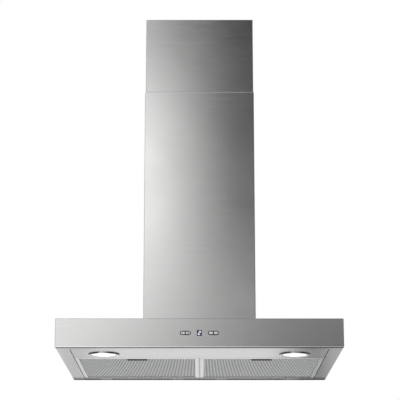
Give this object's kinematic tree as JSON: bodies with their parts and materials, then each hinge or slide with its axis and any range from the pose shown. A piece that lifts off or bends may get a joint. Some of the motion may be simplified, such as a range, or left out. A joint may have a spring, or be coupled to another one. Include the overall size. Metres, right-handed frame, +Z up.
{
  "type": "wall mount range hood",
  "caption": "Wall mounted kitchen range hood: a flat box canopy with lamps, keys and mesh filters under a two-piece telescopic chimney that hides the blower.",
  "frame": {"origin": "on the wall plane, in the middle of the hood's width, level with the canopy's underside", "axes": "+Z up, +Y into the wall, -Y out of the hood's front, +X to the right as seen from the front"},
  "size_m": [0.598, 0.501, 0.812],
  "materials": {
    "brushed_stainless": "brushed stainless sheet, grain along the sheet",
    "satin_stainless": "satin stainless sheet",
    "galvanised": "galvanised sheet with a faint spangle",
    "ring_nickel": "satin nickel plate",
    "lens_white": "frosted diffuser, lit",
    "filter_aluminium": "bright rolled aluminium",
    "mesh_aluminium": "layered expanded aluminium mesh",
    "cup_aluminium": "die-cast aluminium",
    "dark_plastic": "fine moulded texture",
    "black_plastic": "fine moulded texture",
    "key_grey": "satin light grey",
    "display_dark": "dark tinted acrylic",
    "digit_lit": "lit pale violet",
    "circuit_board": "green solder mask",
    "scroll_plastic": "moulded flame-proof plastic",
    "impeller_plastic": "moulded plastic",
    "motor_paint": "baked enamel",
    "shaft_steel": "ground steel",
    "spring_steel": "drawn spring steel",
    "box_plastic": "light grey moulding",
    "capacitor_shell": "white moulding",
    "lamp_board": "white board, warm emitter",
    "lead_sheath": "light grey flexible sheath",
    "grommet_rubber": "black rubber",
    "screw_zinc": "zinc plated"
  },
  "bodies": {
    "root": {"canopy_shell": "brushed_stainless", "canopy_back": "galvanised", "lamp_panel": "satin_stainless", "display_window": "display_dark", "display_module": "black_plastic", "display_digit": "digit_lit", "control_board": "circuit_board", "control_tray": "dark_plastic", "chimney_lower": "brushed_stainless", "chimney_foot": "galvanised", "blower_box": "galvanised", "blower_lid": "galvanised", "scroll_left": "scroll_plastic", "scroll_right": "scroll_plastic", "motor": "motor_paint", "motor_bracket": "galvanised", "outlet_collar": "scroll_plastic", "flap_pin": "shaft_steel", "terminal_box": "box_plastic", "terminal_lid": "box_plastic", "cable_gland": "black_plastic", "power_box": "box_plastic", "lamp_driver": "box_plastic", "capacitor": "capacitor_shell", "supply_lead": "lead_sheath", "lead_grommet": "grommet_rubber", "panel_screws": "screw_zinc", "blower_screws": "screw_zinc", "collar_screws": "screw_zinc", "lamp_clips": "spring_steel", "lamp_ring_left": "ring_nickel", "lamp_lens_left": "lens_white", "lamp_cup_left": "cup_aluminium", "lamp_module_left": "lamp_board", "key_bezel_left": "black_plastic", "lamp_ring_right": "ring_nickel", "lamp_lens_right": "lens_white", "lamp_cup_right": "cup_aluminium", "lamp_module_right": "lamp_board", "key_bezel_right": "black_plastic"},
    "chimney_upper": {"chimney_upper": "brushed_stainless", "upper_bracket": "galvanised"},
    "impeller": {"impeller": "impeller_plastic", "motor_shaft": "shaft_steel"},
    "flap_front": {"flap_front": "impeller_plastic"},
    "flap_rear": {"flap_rear": "impeller_plastic"},
    "filter_left": {"filter_frame_left": "filter_aluminium", "filter_mesh_left": "mesh_aluminium", "latch_cup_left": "dark_plastic"},
    "latch_left": {"latch_slide_left": "black_plastic", "latch_spring_left": "spring_steel"},
    "key_left_outer": {"key_left_outer": "key_grey"},
    "key_left_inner": {"key_left_inner": "key_grey"},
    "filter_right": {"filter_frame_right": "filter_aluminium", "filter_mesh_right": "mesh_aluminium", "latch_cup_right": "dark_plastic"},
    "latch_right": {"latch_slide_right": "black_plastic", "latch_spring_right": "spring_steel"},
    "key_right_outer": {"key_right_outer": "key_grey"},
    "key_right_inner": {"key_right_inner": "key_grey"}
  },
  "joints": [
    {"name": "chimney_slide", "type": "slide", "parent": "root", "child": "chimney_upper", "axis": [0, 0, 1], "range_m": [-0.15, 0.23]},
    {"name": "impeller_spin", "type": "hinge", "parent": "root", "child": "impeller", "pos_m": [0, -0.114, 0.165], "axis": [1, 0, 0], "continuous": true},
    {"name": "flap_front_hinge", "type": "hinge", "parent": "root", "child": "flap_front", "pos_m": [0, -0.164, 0.312], "axis": [-1, 0, 0], "range_deg": [0, 70]},
    {"name": "flap_rear_hinge", "type": "hinge", "parent": "root", "child": "flap_rear", "pos_m": [0, -0.164, 0.312], "axis": [1, 0, 0], "range_deg": [0, 70]},
    {"name": "filter_left_hinge", "type": "hinge", "parent": "root", "child": "filter_left", "pos_m": [0, -0.008, 0.001], "axis": [1, 0, 0], "range_deg": [0, 80]},
    {"name": "latch_left_slide", "type": "slide", "parent": "filter_left", "child": "latch_left", "axis": [0, 1, 0], "range_m": [0, 0.005], "stiffness_N_per_m": 600, "springref_m": -0.004},
    {"name": "key_left_outer_press", "type": "slide", "parent": "root", "child": "key_left_outer", "axis": [0, 1, 0], "range_m": [0, 0.0011], "stiffness_N_per_m": 1500, "springref_m": -0.0004},
    {"name": "key_left_inner_press", "type": "slide", "parent": "root", "child": "key_left_inner", "axis": [0, 1, 0], "range_m": [0, 0.0011], "stiffness_N_per_m": 1500, "springref_m": -0.0004},
    {"name": "filter_right_hinge", "type": "hinge", "parent": "root", "child": "filter_right", "pos_m": [0, -0.008, 0.001], "axis": [1, 0, 0], "range_deg": [0, 80]},
    {"name": "latch_right_slide", "type": "slide", "parent": "filter_right", "child": "latch_right", "axis": [0, 1, 0], "range_m": [0, 0.005], "stiffness_N_per_m": 600, "springref_m": -0.004},
    {"name": "key_right_outer_press", "type": "slide", "parent": "root", "child": "key_right_outer", "axis": [0, 1, 0], "range_m": [0, 0.0011], "stiffness_N_per_m": 1500, "springref_m": -0.0004},
    {"name": "key_right_inner_press", "type": "slide", "parent": "root", "child": "key_right_inner", "axis": [0, 1, 0], "range_m": [0, 0.0011], "stiffness_N_per_m": 1500, "springref_m": -0.0004}
  ]
}
